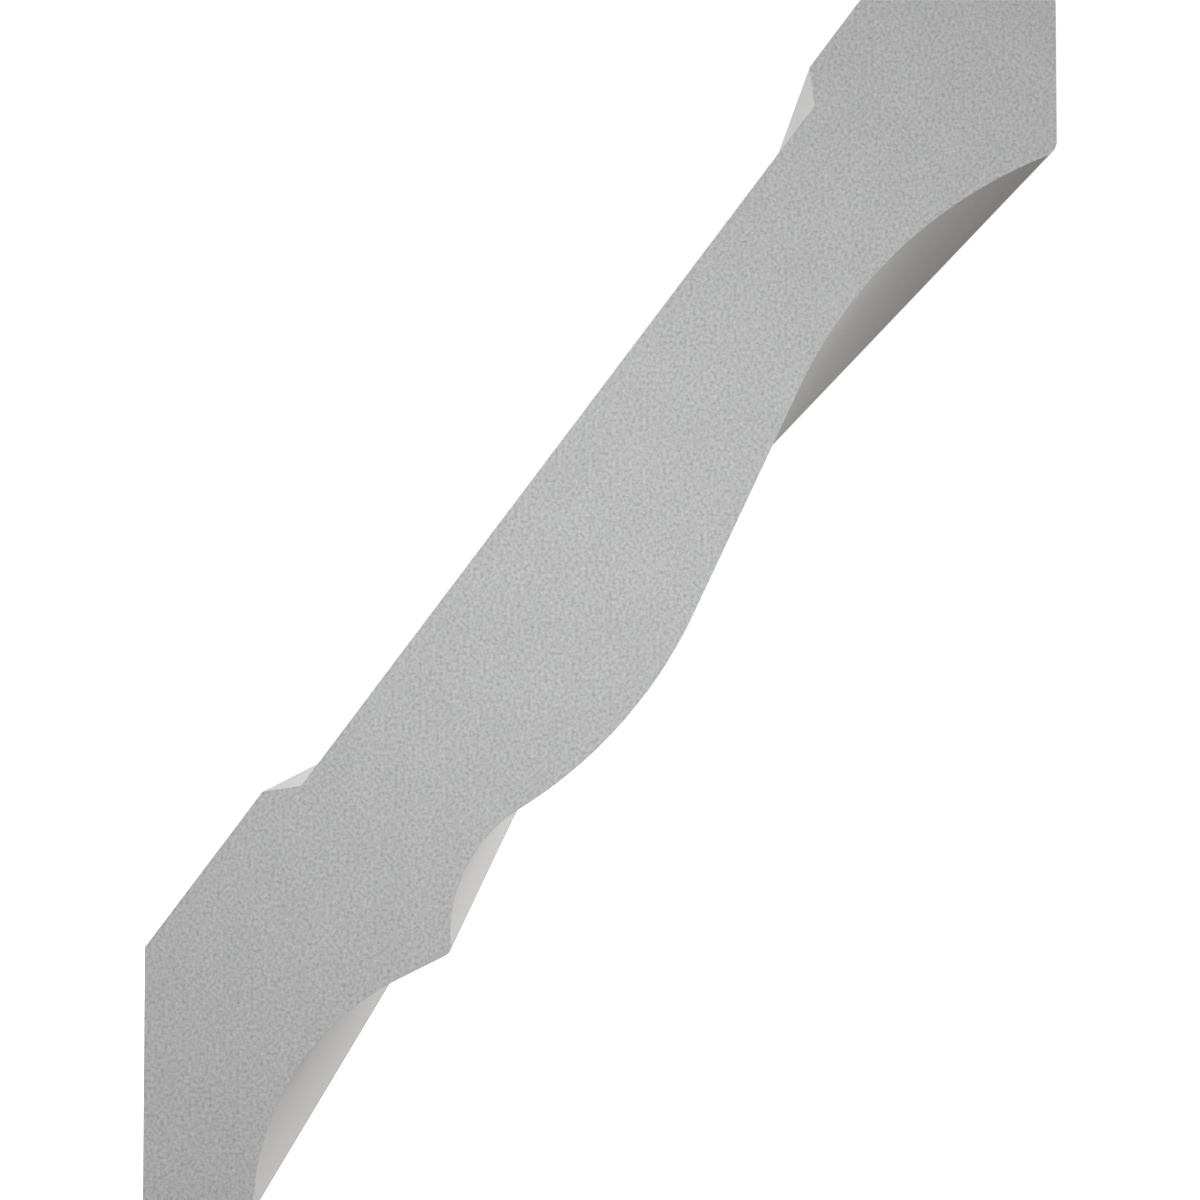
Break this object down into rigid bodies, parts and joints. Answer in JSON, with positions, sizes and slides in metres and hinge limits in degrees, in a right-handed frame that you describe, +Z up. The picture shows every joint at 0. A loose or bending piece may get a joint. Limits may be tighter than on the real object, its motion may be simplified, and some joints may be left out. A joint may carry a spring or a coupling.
{
  "type": "crown moulding",
  "caption": "Length of sprung crown moulding with a cove, ogee and bead profile and a relieved back, cut square at both ends, fixed in the corner between wall and ceiling.",
  "frame": {"origin": "middle of the flat that bears on the wall, half way along the length", "axes": "+X along the length, +Y into the wall, square to the wall flat, +Z up to the ceiling"},
  "size_m": [1, 0.07, 0.093],
  "materials": {
    "primed_foam": "off-white primer on rigid foam, matt to satin, with a bare grey fine-grained foam face at each cut end"
  },
  "bodies": {
    "root": {"crown_moulding": "primed_foam"}
  },
  "joints": []
}
